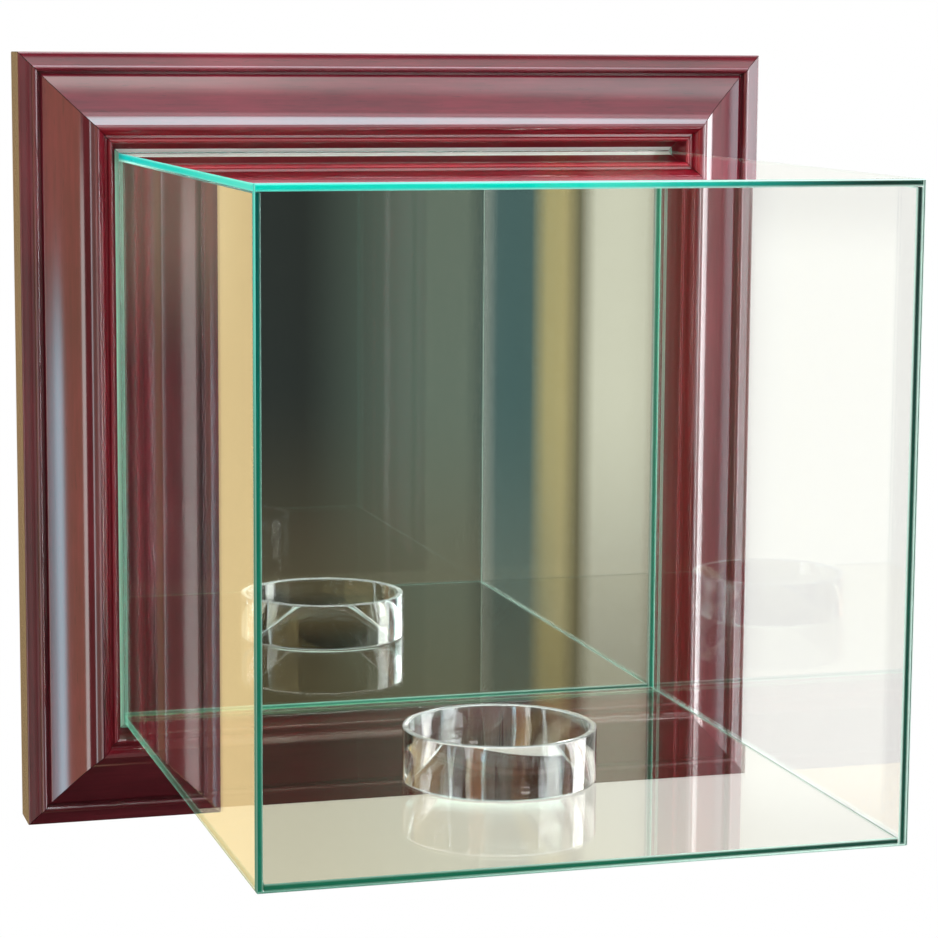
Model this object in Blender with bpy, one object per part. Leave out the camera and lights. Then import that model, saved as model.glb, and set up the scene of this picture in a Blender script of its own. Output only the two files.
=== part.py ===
# Wall display case: a five-sided glass box on a mirror, held in a mitred moulded frame.
# Metres, +Z up. The case looks towards -Y, and the frame's rear face lies in the plane y = 0.
# The origin is midway between the two wall hooks, where they bear on the hangers' rings.
import math

import bmesh
import bpy

# Glass box, measured over its outer faces and from the mirror to the front face
CASE_WIDTH = 0.286
CASE_HEIGHT = 0.286
CASE_DEPTH = 0.318
GLASS_THICKNESS = 0.0032
GLASS_ARRIS = 0.0004

# Gaps between pieces that touch or that are glued
SEAT_GAP = 0.0003
GLUE_GAP = 0.0003
MITRE_GAP = 0.0002
CUT_OVERRUN = 0.0020
SAME_POINT = 0.000003

# Moulding, widths across its face from the outer edge inward
SHOULDER_WIDTH = 0.0063
FINE_BEAD_RADIUS = 0.0015
QUIRK_WIDTH = 0.0013
RAMP_WIDTH = 0.0240
NOSE_OUTER_WIDTH = 0.0019
NOSE_INNER_WIDTH = 0.0036
BAND_WIDTH = 0.0012
LIP_RADIUS = 0.0013
LEDGE_WIDTH = 0.0048

# Moulding, heights above its rear face
SHOULDER_FOOT_HEIGHT = 0.0229
SHOULDER_HEAD_HEIGHT = 0.0245
QUIRK_HEIGHT = 0.0228
RAMP_FOOT_HEIGHT = 0.0242
RAMP_RISE = 0.0110
BAND_HEIGHT = 0.0333
NOSE_HEIGHT = 0.0381
LEDGE_THICKNESS = 0.0040

# Moulding, rounding of its outer edge, how hollow the ramp is and how late it steepens
OUTER_EDGE_RADIUS = 0.0010
RAMP_HOLLOW = 0.2
RAMP_POWER = 8

# Mirror and backing board
MIRROR_OVERLAP = 0.0095
MIRROR_THICKNESS = 0.0040
MIRROR_ARRIS = 0.0004
BOARD_THICKNESS = 0.0127
BOARD_ARRIS = 0.0006
RABBET_CLEARANCE = 0.0005

# Clear bond bead between each pane and the ledge
BEAD_LEG = 0.0017

# Riser ring
RING_DIAMETER = 0.090
RING_HEIGHT = 0.025
RING_WALL = 0.0032
RING_EDGE_RADIUS = 0.0006
RING_RIGHT = 0.0035
RING_FORWARD = 0.0115

# V-nails across the mitres
V_NAIL_LEG = 0.0060
V_NAIL_THICKNESS = 0.0009
V_NAIL_HEIGHT = 0.0100
V_NAIL_SINK = 0.0004
V_NAIL_CLEARANCE = 0.0003
V_NAIL_PLACE_SHARES = (0.30, 0.68)

# Turn buttons
BUTTON_WIDE_RADIUS = 0.0060
BUTTON_TIP_RADIUS = 0.0034
BUTTON_REACH = 0.0200
BUTTON_THICKNESS = 0.0012
BUTTON_TIP_LIFT = 0.0014
BUTTON_HOLE_CLEARANCE = 0.0003
BUTTON_SETBACK = 0.0080
BUTTON_SPREAD = 0.1600

# Screws
BUTTON_SCREW = {"head_radius": 0.0036, "head_height": 0.0022, "shank_radius": 0.0017, "length": 0.0125}
HANGER_SCREW = {"head_radius": 0.0036, "head_height": 0.0022, "shank_radius": 0.0019, "length": 0.0160}
SCREW_RIM_SHARE = 0.35
SCREW_TIP_SHARE = 0.20
PILOT_CLEARANCE = 0.0003

# Strap hangers
STRAP_WIDTH = 0.0120
STRAP_LENGTH = 0.0300
STRAP_THICKNESS = 0.0010
STRAP_SLIT = 0.0002
STRAP_CORNER_RADIUS = 0.0030
STRAP_JOGGLE = 0.0018
STRAP_HOLE_CLEARANCE = 0.0003
STRAP_HOLE_SHARES = (0.42, 0.80)
HANGER_RISE = 0.0950
D_WIRE_RADIUS = 0.0014
D_RUNNING_CLEARANCE = 0.0002
D_INNER_WIDTH = 0.0170
D_LEG = 0.0040
D_CORNER_RADIUS = 0.0026

# Rubber bumpers
BUMPER_RADIUS = 0.0065
BUMPER_FACE_RADIUS = 0.0045
BUMPER_HEIGHT = 0.0048
BUMPER_CORNER_INSET = 0.0450

# Steps of the round forms
ARC_STEPS = 10
RAMP_STEPS = 18
RING_STEPS = 64
EDGE_STEPS = 3
SCREW_STEPS = 16
BUTTON_STEPS = 8
D_ARC_STEPS = 14
D_CORNER_STEPS = 4
D_WIRE_RESOLUTION = 2
BUMPER_STEPS = 24

# Worked out from the sizes above
CHANNEL_WIDTH = SEAT_GAP + LEDGE_WIDTH
MOULDING_WIDTH = (SHOULDER_WIDTH + 2 * FINE_BEAD_RADIUS + QUIRK_WIDTH + RAMP_WIDTH
                  + NOSE_OUTER_WIDTH + NOSE_INNER_WIDTH + BAND_WIDTH + 2 * LIP_RADIUS)
MEMBER_WIDTH = MOULDING_WIDTH + CHANNEL_WIDTH
MIRROR_REAR = BOARD_THICKNESS + SEAT_GAP
MIRROR_FACE = MIRROR_REAR + MIRROR_THICKNESS
LEDGE_REAR = MIRROR_FACE + SEAT_GAP
LEDGE_FACE = LEDGE_REAR + LEDGE_THICKNESS
RABBET_WIDTH = MIRROR_OVERLAP + RABBET_CLEARANCE
LAND_WIDTH = MEMBER_WIDTH - RABBET_WIDTH
LAND_MIDDLE = RABBET_WIDTH + LAND_WIDTH / 2
CASE_FRONT = MIRROR_FACE + CASE_DEPTH
HALF_WIDTH = CASE_WIDTH / 2
HALF_HEIGHT = CASE_HEIGHT / 2
HOOK_RISE = HANGER_RISE + D_CORNER_RADIUS + D_LEG + D_INNER_WIDTH / 2

# Base colour, roughness, metallic value and transmission of each material
FINISHES = {
    "lacquered_wood": ((0.16, 0.022, 0.020), 0.22, 0.0, 0.0),
    "mirror": ((0.92, 0.93, 0.92), 0.02, 1.0, 0.0),
    "board": ((0.34, 0.23, 0.13), 0.80, 0.0, 0.0),
    "glass": ((0.80, 0.97, 0.92), 0.02, 0.0, 1.0),
    "clear_bond": ((0.88, 0.92, 0.90), 0.25, 0.0, 0.8),
    "clear_plastic": ((0.95, 0.97, 0.97), 0.03, 0.0, 1.0),
    "steel": ((0.55, 0.55, 0.56), 0.35, 1.0, 0.0),
    "brass_plate": ((0.72, 0.53, 0.22), 0.30, 1.0, 0.0),
    "rubber": ((0.02, 0.02, 0.02), 0.70, 0.0, 0.0),
}

# Turn about Y that brings a member made for the top to its side of the frame
SIDE_TURNS = {"top": 0, "right": 90, "bottom": 180, "left": 270}
MEMBER_NAMES = {
    "top": "frame_top_rail",
    "right": "frame_right_stile",
    "bottom": "frame_bottom_rail",
    "left": "frame_left_stile",
}


def clear_scene():
    for item in list(bpy.data.objects):
        bpy.data.objects.remove(item, do_unlink=True)


def material(name):
    found = bpy.data.materials.get(name)
    if found:
        return found
    colour, roughness, metallic, transmission = FINISHES[name]
    made = bpy.data.materials.new(name)
    made.use_nodes = True
    shader = made.node_tree.nodes["Principled BSDF"]
    shader.inputs["Base Color"].default_value = (*colour, 1.0)
    shader.inputs["Roughness"].default_value = roughness
    shader.inputs["Metallic"].default_value = metallic
    shader.inputs["Transmission Weight"].default_value = transmission
    made.diffuse_color = (*colour, 1.0)
    return made


def empty(name, location, parent=None):
    made = bpy.data.objects.new(name, None)
    bpy.context.collection.objects.link(made)
    made.parent = parent
    made.location = location
    return made


def place(name, data, finish, parent, location=(0, 0, 0), turn=(0, 0, 0)):
    # Links one sub-part, with its material, at its place under its parent
    made = bpy.data.objects.new(name, data)
    bpy.context.collection.objects.link(made)
    data.materials.clear()
    data.materials.append(material(finish))
    made.parent = parent
    made.location = location
    made.rotation_euler = [math.radians(angle) for angle in turn]
    return made


def finish_mesh(name, shape, sharp_angle=None):
    # Turns a bmesh into a mesh with outward faces, smooth where sharp_angle is given
    bmesh.ops.recalc_face_normals(shape, faces=shape.faces)
    mesh = bpy.data.meshes.new(name)
    shape.to_mesh(mesh)
    shape.free()
    if sharp_angle is not None:
        mesh.shade_smooth()
        mesh.set_sharp_from_angle(angle=math.radians(sharp_angle))
    return mesh


def arc(centre, radii, start, end, steps):
    # Points of an elliptical arc with both its ends, angles in degrees
    points = []
    for step in range(steps + 1):
        angle = math.radians(start + (end - start) * step / steps)
        across = centre[0] + radii[0] * math.cos(angle)
        along = centre[1] + radii[1] * math.sin(angle)
        points.append((across, along))
    return points


def without_repeats(points):
    # Drops a point that lies on the one before it
    kept = []
    for point in points:
        if not kept or math.dist(point, kept[-1]) > SAME_POINT:
            kept.append(point)
    return kept


def prism_mesh(name, start_points, end_points, sharp_angle=None):
    # Joins two like outlines, given as lists of 3-D points, into a closed solid
    shape = bmesh.new()
    starts = [shape.verts.new(point) for point in start_points]
    ends = [shape.verts.new(point) for point in end_points]
    shape.faces.new(starts)
    shape.faces.new(list(reversed(ends)))
    count = len(starts)
    for index in range(count):
        following = (index + 1) % count
        shape.faces.new((starts[index], ends[index], ends[following], starts[following]))
    return finish_mesh(name, shape, sharp_angle)


def turned_mesh(name, profile, steps, sharp_angle=35):
    # Turns a profile of (radius, height) points about Z; points at radius zero become poles
    shape = bmesh.new()
    rings = []
    for radius, height in profile:
        if radius == 0:
            rings.append([shape.verts.new((0, 0, height))])
            continue
        ring = []
        for step in range(steps):
            angle = math.tau * step / steps
            ring.append(shape.verts.new((radius * math.cos(angle), radius * math.sin(angle), height)))
        rings.append(ring)
    if len(rings[0]) > 1:
        rings.append(rings[0])
    for upper, lower in zip(rings, rings[1:]):
        for step in range(steps):
            following = (step + 1) % steps
            corners = []
            for ring, index in ((upper, step), (upper, following), (lower, following), (lower, step)):
                corner = ring[index % len(ring)]
                if corner not in corners:
                    corners.append(corner)
            shape.faces.new(corners)
    return finish_mesh(name, shape, sharp_angle)


def box_mesh(name, size, arris):
    # A plate with all its edges seamed by a small chamfer
    shape = bmesh.new()
    bmesh.ops.create_cube(shape, size=1)
    bmesh.ops.scale(shape, verts=shape.verts, vec=size)
    bmesh.ops.bevel(shape, geom=shape.edges[:], offset=arris, segments=1, affect="EDGES")
    return finish_mesh(name, shape)


def cutter(name, data, parent, location=(0, 0, 0), turn=(0, 0, 0)):
    made = bpy.data.objects.new(name, data)
    bpy.context.collection.objects.link(made)
    made.parent = parent
    made.location = location
    made.rotation_euler = [math.radians(angle) for angle in turn]
    made.display_type = "WIRE"
    made.hide_render = True
    return made


def boolean(target, tool, operation="DIFFERENCE"):
    modifier = target.modifiers.new(tool.name, "BOOLEAN")
    modifier.operation = operation
    modifier.solver = "EXACT"
    modifier.object = tool


# Frame

def moulding_section():
    # Outline of the moulding as (distance from its outer edge, height above its rear face)
    points = [(0, 0)]
    edge_middle = (OUTER_EDGE_RADIUS, SHOULDER_FOOT_HEIGHT - OUTER_EDGE_RADIUS)
    points += arc(edge_middle, (OUTER_EDGE_RADIUS, OUTER_EDGE_RADIUS), 180, 90, ARC_STEPS)
    across = SHOULDER_WIDTH + FINE_BEAD_RADIUS
    points += arc((across, SHOULDER_HEAD_HEIGHT), (FINE_BEAD_RADIUS, FINE_BEAD_RADIUS), 180, 0, ARC_STEPS)
    across += FINE_BEAD_RADIUS
    points.append((across, QUIRK_HEIGHT))
    across += QUIRK_WIDTH
    points.append((across, QUIRK_HEIGHT))

    # The ramp is a little hollow, and steepens up to the point where the nose takes over
    nose_rise = NOSE_HEIGHT - BAND_HEIGHT
    nose_start = math.acos(-NOSE_OUTER_WIDTH / NOSE_INNER_WIDTH)
    last_rise = BAND_HEIGHT + nose_rise * math.sin(nose_start) - RAMP_FOOT_HEIGHT - RAMP_RISE
    for step in range(RAMP_STEPS):
        share = step / RAMP_STEPS
        climb = share - RAMP_HOLLOW * share * (1 - share)
        height = RAMP_FOOT_HEIGHT + RAMP_RISE * climb + last_rise * share ** RAMP_POWER
        points.append((across + RAMP_WIDTH * share, height))
    across += RAMP_WIDTH + NOSE_OUTER_WIDTH
    nose_radii = (NOSE_INNER_WIDTH, nose_rise)
    points += arc((across, BAND_HEIGHT), nose_radii, math.degrees(nose_start), 0, 2 * ARC_STEPS)
    across += NOSE_INNER_WIDTH + BAND_WIDTH + LIP_RADIUS
    points += arc((across, BAND_HEIGHT), (LIP_RADIUS, LIP_RADIUS), 180, 0, ARC_STEPS)
    points.append((MOULDING_WIDTH, LEDGE_FACE))
    points.append((MOULDING_WIDTH + LEDGE_WIDTH, LEDGE_FACE))
    points.append((MOULDING_WIDTH + LEDGE_WIDTH, LEDGE_REAR))
    points.append((LAND_WIDTH, LEDGE_REAR))
    points.append((LAND_WIDTH, 0))
    return without_repeats(points)


def mitred_mesh(name, section, half_along, half_across, sharp_angle=35):
    # Runs a section of (distance outside the box's face, height) points along one side,
    # with both its ends cut at 45 degrees
    left_points = []
    right_points = []
    for outside, height in section:
        reach = half_along + outside - MITRE_GAP
        left_points.append((-reach, -height, half_across + outside))
        right_points.append((reach, -height, half_across + outside))
    return prism_mesh(name, left_points, right_points, sharp_angle)


def halves(side):
    # Half the box's size along a side and half its size across it
    if side in ("top", "bottom"):
        return HALF_WIDTH, HALF_HEIGHT
    return HALF_HEIGHT, HALF_WIDTH


def build_frame(centre):
    section = [(MEMBER_WIDTH - across, height) for across, height in moulding_section()]
    members = {}
    for side, name in MEMBER_NAMES.items():
        half_along, half_across = halves(side)
        mesh = mitred_mesh(name, section, half_along, half_across)
        members[side] = place(name, mesh, "lacquered_wood", centre, turn=(0, SIDE_TURNS[side], 0))
    return members


# V-nails

def v_nail_mesh(name, clearance, low, high):
    # An angle in plan with its bend at the outer corner, between two heights along Y
    outer = clearance
    inner = -V_NAIL_THICKNESS - clearance
    tip = -V_NAIL_LEG - clearance
    outline = [(tip, outer), (outer, outer), (outer, tip), (inner, tip), (inner, inner), (tip, inner)]
    lower = [(across, low, along) for across, along in outline]
    upper = [(across, high, along) for across, along in outline]
    return prism_mesh(name, lower, upper)


def build_v_nails(centre, members):
    corners = {
        "top_right": (1, 1, 0, ("top", "right")),
        "bottom_right": (1, -1, 90, ("bottom", "right")),
        "bottom_left": (-1, -1, 180, ("bottom", "left")),
        "top_left": (-1, 1, 270, ("top", "left")),
    }
    for corner, (right, up, turn, sides) in corners.items():
        for number, share in enumerate(V_NAIL_PLACE_SHARES, start=1):
            outside = MEMBER_WIDTH - LAND_WIDTH * share
            place_xz = (right * (HALF_WIDTH + outside), 0, up * (HALF_HEIGHT + outside))
            name = f"v_nail_{corner}_{number}"
            mesh = v_nail_mesh(name, 0, -V_NAIL_SINK - V_NAIL_HEIGHT, -V_NAIL_SINK)
            place(name, mesh, "steel", centre, place_xz, (0, turn, 0))
            depth = V_NAIL_SINK + V_NAIL_HEIGHT + V_NAIL_CLEARANCE
            slot_mesh = v_nail_mesh(name + "_slot", V_NAIL_CLEARANCE, -depth, CUT_OVERRUN)
            slot = cutter(name + "_slot", slot_mesh, centre, place_xz, (0, turn, 0))
            for side in sides:
                boolean(members[side], slot)


# Mirror and board

def build_rear_plates(centre):
    width = CASE_WIDTH + 2 * MIRROR_OVERLAP
    height = CASE_HEIGHT + 2 * MIRROR_OVERLAP
    mirror = box_mesh("mirror_plate", (width, MIRROR_THICKNESS, height), MIRROR_ARRIS)
    place("mirror_plate", mirror, "mirror", centre, (0, -(MIRROR_REAR + MIRROR_FACE) / 2, 0))
    board = box_mesh("backing_board", (width, BOARD_THICKNESS, height), BOARD_ARRIS)
    place("backing_board", board, "board", centre, (0, -BOARD_THICKNESS / 2, 0))


# Glass

def pane(name, low, high, centre):
    # A pane between two opposite corners
    size = [upper - lower for lower, upper in zip(low, high)]
    middle = [(lower + upper) / 2 for lower, upper in zip(low, high)]
    place(name, box_mesh(name, size, GLASS_ARRIS), "glass", centre, middle)


def build_glass(centre):
    rear = -(MIRROR_FACE + SEAT_GAP)
    front = -CASE_FRONT
    front_inside = front + GLASS_THICKNESS
    side_front = front_inside + GLUE_GAP
    roof_low = HALF_HEIGHT - GLASS_THICKNESS
    side_high = roof_low - GLUE_GAP
    wall_inside = HALF_WIDTH - GLASS_THICKNESS
    floor_reach = wall_inside - GLUE_GAP
    pane("glass_front", (-HALF_WIDTH, front, -HALF_HEIGHT), (HALF_WIDTH, front_inside, HALF_HEIGHT), centre)
    pane("glass_top", (-HALF_WIDTH, side_front, roof_low), (HALF_WIDTH, rear, HALF_HEIGHT), centre)
    pane("glass_left", (-HALF_WIDTH, side_front, -HALF_HEIGHT), (-wall_inside, rear, side_high), centre)
    pane("glass_right", (wall_inside, side_front, -HALF_HEIGHT), (HALF_WIDTH, rear, side_high), centre)
    floor_low = -HALF_HEIGHT
    floor_high = floor_low + GLASS_THICKNESS
    pane("glass_bottom", (-floor_reach, side_front, floor_low), (floor_reach, rear, floor_high), centre)


def build_bond_beads(centre):
    # Hollow fillets in the channel between the panes and the frame's lip
    foot = LEDGE_FACE + SEAT_GAP
    section = [(SEAT_GAP, foot)]
    section += arc((SEAT_GAP + BEAD_LEG, foot + BEAD_LEG), (BEAD_LEG, BEAD_LEG), 270, 180, ARC_STEPS)
    section[1] = (SEAT_GAP + BEAD_LEG, foot)
    for side, turn in SIDE_TURNS.items():
        half_along, half_across = halves(side)
        name = f"bond_bead_{side}"
        mesh = mitred_mesh(name, section, half_along, half_across)
        place(name, mesh, "clear_bond", centre, turn=(0, turn, 0))


# Riser ring

def build_riser_ring(centre):
    outer = RING_DIAMETER / 2
    inner = outer - RING_WALL
    radii = (RING_EDGE_RADIUS, RING_EDGE_RADIUS)
    high = RING_HEIGHT - RING_EDGE_RADIUS
    low = RING_EDGE_RADIUS
    profile = arc((outer - RING_EDGE_RADIUS, high), radii, 90, 0, EDGE_STEPS)
    profile += arc((outer - RING_EDGE_RADIUS, low), radii, 0, -90, EDGE_STEPS)
    profile += arc((inner + RING_EDGE_RADIUS, low), radii, 270, 180, EDGE_STEPS)
    profile += arc((inner + RING_EDGE_RADIUS, high), radii, 180, 90, EDGE_STEPS)
    mesh = turned_mesh("riser_ring", without_repeats(profile), RING_STEPS)
    floor = -HALF_HEIGHT + GLASS_THICKNESS
    forward = -MIRROR_FACE - CASE_DEPTH / 2 - RING_FORWARD
    place("riser_ring", mesh, "clear_plastic", centre, (RING_RIGHT, forward, floor + SEAT_GAP))


# Screws

def screw_mesh(name, sizes):
    # A domed head above its seat at height zero, and a shank that ends in a point
    rim = sizes["head_height"] * SCREW_RIM_SHARE
    dome = sizes["head_height"] - rim
    tip = sizes["length"] * SCREW_TIP_SHARE
    profile = arc((0, rim), (sizes["head_radius"], dome), 90, 0, EDGE_STEPS)
    profile[0] = (0, sizes["head_height"])
    profile.append((sizes["head_radius"], 0))
    profile.append((sizes["shank_radius"], 0))
    profile.append((sizes["shank_radius"], tip - sizes["length"]))
    profile.append((0, -sizes["length"]))
    return turned_mesh(name, profile, SCREW_STEPS)


def drill(target, name, parent, location, radius, low, high):
    # Cuts a round hole along Y between two heights behind the frame's rear face
    profile = [(0, high), (radius, high), (radius, low), (0, low)]
    mesh = turned_mesh(name, profile, SCREW_STEPS)
    boolean(target, cutter(name, mesh, parent, location, (-90, 0, 0)))


# Turn buttons

def button_mesh(name):
    # A tapered plate along +X from its pivot, flat under the screw, with its tip lifted along Y
    stations = []
    for across, half in arc((0, 0), (BUTTON_WIDE_RADIUS, BUTTON_WIDE_RADIUS), 180, 90, BUTTON_STEPS):
        stations.append((across, half))
    tip_points = arc((BUTTON_REACH, 0), (BUTTON_TIP_RADIUS, BUTTON_TIP_RADIUS), 90, 0, BUTTON_STEPS)
    for step in range(1, BUTTON_STEPS):
        share = step / BUTTON_STEPS
        half = BUTTON_WIDE_RADIUS + (BUTTON_TIP_RADIUS - BUTTON_WIDE_RADIUS) * share
        stations.append((BUTTON_REACH * share, half))
    stations += tip_points
    length = BUTTON_REACH + BUTTON_TIP_RADIUS
    shape = bmesh.new()
    rows = []
    for across, half in stations:
        bend = max(0, across / length)
        lift = BUTTON_TIP_LIFT * bend * bend * bend
        if half < SAME_POINT:
            pair = (shape.verts.new((across, lift, 0)), shape.verts.new((across, lift + BUTTON_THICKNESS, 0)))
            rows.append((pair[0], pair[0], pair[1], pair[1]))
            continue
        corners = []
        for height, depth in ((0, -half), (0, half), (BUTTON_THICKNESS, half), (BUTTON_THICKNESS, -half)):
            corners.append(shape.verts.new((across, lift + height, depth)))
        rows.append(tuple(corners))
    for near, far in zip(rows, rows[1:]):
        for index in range(4):
            following = (index + 1) % 4
            corners = []
            for corner in (near[index], near[following], far[following], far[index]):
                if corner not in corners:
                    corners.append(corner)
            if len(corners) > 2:
                shape.faces.new(corners)
    return finish_mesh(name, shape, 35)


def build_turn_buttons(centre, members):
    spread = BUTTON_SPREAD / 2
    pivot_outside = RABBET_WIDTH + BUTTON_SETBACK
    high = HALF_HEIGHT + pivot_outside
    wide = HALF_WIDTH + pivot_outside
    places = {
        "top_left": ("top", -spread, high, 90),
        "top_right": ("top", spread, high, 90),
        "bottom_left": ("bottom", -spread, -high, -90),
        "bottom_right": ("bottom", spread, -high, -90),
        "left": ("left", -wide, 0, 0),
        "right": ("right", wide, 0, 180),
    }
    seat = BUTTON_THICKNESS + 2 * SEAT_GAP
    shank = BUTTON_SCREW["shank_radius"]
    for label, (side, across, up, turn) in places.items():
        pivot = empty(f"turn_button_{label}_pivot", (across, SEAT_GAP, up), centre)
        name = f"turn_button_{label}"
        button = place(name, button_mesh(name), "brass_plate", pivot, turn=(0, turn, 0))
        hole = shank + BUTTON_HOLE_CLEARANCE
        drill(button, name + "_hole", pivot, (0, 0, 0), hole, -CUT_OVERRUN, CUT_OVERRUN)
        screw_name = f"button_screw_{label}"
        mesh = screw_mesh(screw_name, BUTTON_SCREW)
        place(screw_name, mesh, "steel", centre, (across, seat, up), (-90, 0, 0))
        depth = BUTTON_SCREW["length"] - seat + PILOT_CLEARANCE
        pilot = shank + PILOT_CLEARANCE
        drill(members[side], screw_name + "_pilot", centre, (across, 0, up), pilot, -depth, CUT_OVERRUN)


# Strap hangers

def strap_path():
    # Middle line of the folded strap as (height, distance behind the frame), hinge at height zero
    middle = STRAP_THICKNESS / 2
    loop_radius = D_WIRE_RADIUS + D_RUNNING_CLEARANCE + middle
    hinge = hinge_offset()
    lower_plate = SEAT_GAP + middle
    upper_plate = lower_plate + STRAP_THICKNESS + STRAP_SLIT
    path = [(-STRAP_LENGTH, lower_plate)]
    for height, behind in arc((0, hinge), (loop_radius, loop_radius), -90, 160, 2 * ARC_STEPS):
        path.append((height, behind))
    path.append((-loop_radius - STRAP_JOGGLE, upper_plate))
    path.append((-STRAP_LENGTH, upper_plate))
    return path


def hinge_offset():
    # Distance of the D-ring's bar behind the frame's rear face
    return SEAT_GAP + STRAP_THICKNESS + D_RUNNING_CLEARANCE + D_WIRE_RADIUS


def thickened(path, thickness):
    # Outline of a strip of even thickness along an open path
    left_side = []
    right_side = []
    for index, point in enumerate(path):
        before = path[max(index - 1, 0)]
        after = path[min(index + 1, len(path) - 1)]
        normals = []
        for first, second in ((before, point), (point, after)):
            length = math.dist(first, second)
            if length > 0:
                normals.append(((first[1] - second[1]) / length, (second[0] - first[0]) / length))
        across = sum(normal[0] for normal in normals) / len(normals)
        along = sum(normal[1] for normal in normals) / len(normals)
        stretch = across * across + along * along
        offset = thickness / 2 / stretch
        left_side.append((point[0] + across * offset, point[1] + along * offset))
        right_side.append((point[0] - across * offset, point[1] - along * offset))
    return left_side + right_side[::-1]


def strap_mesh(name):
    outline = thickened(strap_path(), STRAP_THICKNESS)
    half = STRAP_WIDTH / 2
    near = [(-half, behind, height) for height, behind in outline]
    far = [(half, behind, height) for height, behind in outline]
    return prism_mesh(name, near, far, 35)


def strap_blank_mesh(name):
    # The strap's plan, with its lower corners rounded, thick enough to trim the folded strip
    half = STRAP_WIDTH / 2
    radius = STRAP_CORNER_RADIUS
    radii = (radius, radius)
    top = hinge_offset() + CUT_OVERRUN
    outline = [(half, top), (-half, top)]
    outline += arc((radius - half, radius - STRAP_LENGTH), radii, 180, 270, D_CORNER_STEPS)
    outline += arc((half - radius, radius - STRAP_LENGTH), radii, 270, 360, D_CORNER_STEPS)
    behind = 2 * hinge_offset() + CUT_OVERRUN
    near = [(across, -CUT_OVERRUN, height) for across, height in outline]
    far = [(across, behind, height) for across, height in outline]
    return prism_mesh(name, near, far)


def d_ring_curve(name):
    # The wire's middle line: a straight bar through the strap, two legs and a half round
    half = D_INNER_WIDTH / 2 + D_WIRE_RADIUS
    corner = D_CORNER_RADIUS
    outline = arc((corner - half, corner), (corner, corner), 180, 270, D_CORNER_STEPS)
    outline += arc((half - corner, corner), (corner, corner), 270, 360, D_CORNER_STEPS)
    outline += arc((0, corner + D_LEG), (half, half), 0, 180, D_ARC_STEPS)
    curve = bpy.data.curves.new(name, "CURVE")
    curve.dimensions = "3D"
    curve.bevel_depth = D_WIRE_RADIUS
    curve.bevel_resolution = D_WIRE_RESOLUTION
    curve.use_fill_caps = True
    curve.render_resolution_u = 0
    spline = curve.splines.new("POLY")
    spline.points.add(len(outline) - 1)
    for point, (across, height) in zip(spline.points, outline):
        point.co = (across, 0, height, 1)
    spline.use_cyclic_u = True
    return curve


def build_hangers(centre, members):
    middle = HALF_WIDTH + LAND_MIDDLE
    seat = 3 * SEAT_GAP + 2 * STRAP_THICKNESS + STRAP_SLIT
    shank = HANGER_SCREW["shank_radius"]
    for label, direction in (("left", -1), ("right", 1)):
        across = direction * middle
        hinge = empty(f"hanger_{label}_hinge", (across, hinge_offset(), HANGER_RISE), centre)
        ring_name = f"hanger_ring_{label}"
        place(ring_name, d_ring_curve(ring_name), "steel", hinge)
        strap_name = f"hanger_strap_{label}"
        strap_place = (across, 0, HANGER_RISE)
        strap = place(strap_name, strap_mesh(strap_name), "steel", centre, strap_place)
        blank_name = strap_name + "_plan"
        blank = cutter(blank_name, strap_blank_mesh(blank_name), centre, strap_place)
        boolean(strap, blank, "INTERSECT")
        for number, share in enumerate(STRAP_HOLE_SHARES, start=1):
            up = HANGER_RISE - STRAP_LENGTH * share
            name = f"hanger_screw_{label}_{number}"
            place(name, screw_mesh(name, HANGER_SCREW), "steel", centre, (across, seat, up), (-90, 0, 0))
            hole = shank + STRAP_HOLE_CLEARANCE
            drill(strap, name + "_hole", centre, (across, 0, up), hole, -CUT_OVERRUN, seat + CUT_OVERRUN)
            depth = HANGER_SCREW["length"] - seat + PILOT_CLEARANCE
            pilot = shank + PILOT_CLEARANCE
            drill(members[label], name + "_pilot", centre, (across, 0, up), pilot, -depth, CUT_OVERRUN)


# Bumpers

def build_bumpers(centre):
    profile = [(0, BUMPER_HEIGHT)]
    rounding = (BUMPER_RADIUS - BUMPER_FACE_RADIUS, BUMPER_HEIGHT)
    profile += arc((BUMPER_FACE_RADIUS, 0), rounding, 90, 0, 2 * EDGE_STEPS)
    profile.append((0, 0))
    low = -(HALF_HEIGHT + LAND_MIDDLE)
    reach = HALF_WIDTH + MEMBER_WIDTH - BUMPER_CORNER_INSET
    for label, direction in (("left", -1), ("right", 1)):
        name = f"bumper_{label}"
        mesh = turned_mesh(name, profile, BUMPER_STEPS, 50)
        place(name, mesh, "rubber", centre, (direction * reach, SEAT_GAP, low), (-90, 0, 0))


def build():
    clear_scene()
    centre = empty("case_centre", (0, 0, -HOOK_RISE))
    members = build_frame(centre)
    build_v_nails(centre, members)
    build_rear_plates(centre)
    build_glass(centre)
    build_bond_beads(centre)
    build_riser_ring(centre)
    build_turn_buttons(centre, members)
    build_hangers(centre, members)
    build_bumpers(centre)


build()
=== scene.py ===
import math

import bmesh
import bpy
from mathutils import Matrix, Vector


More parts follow.
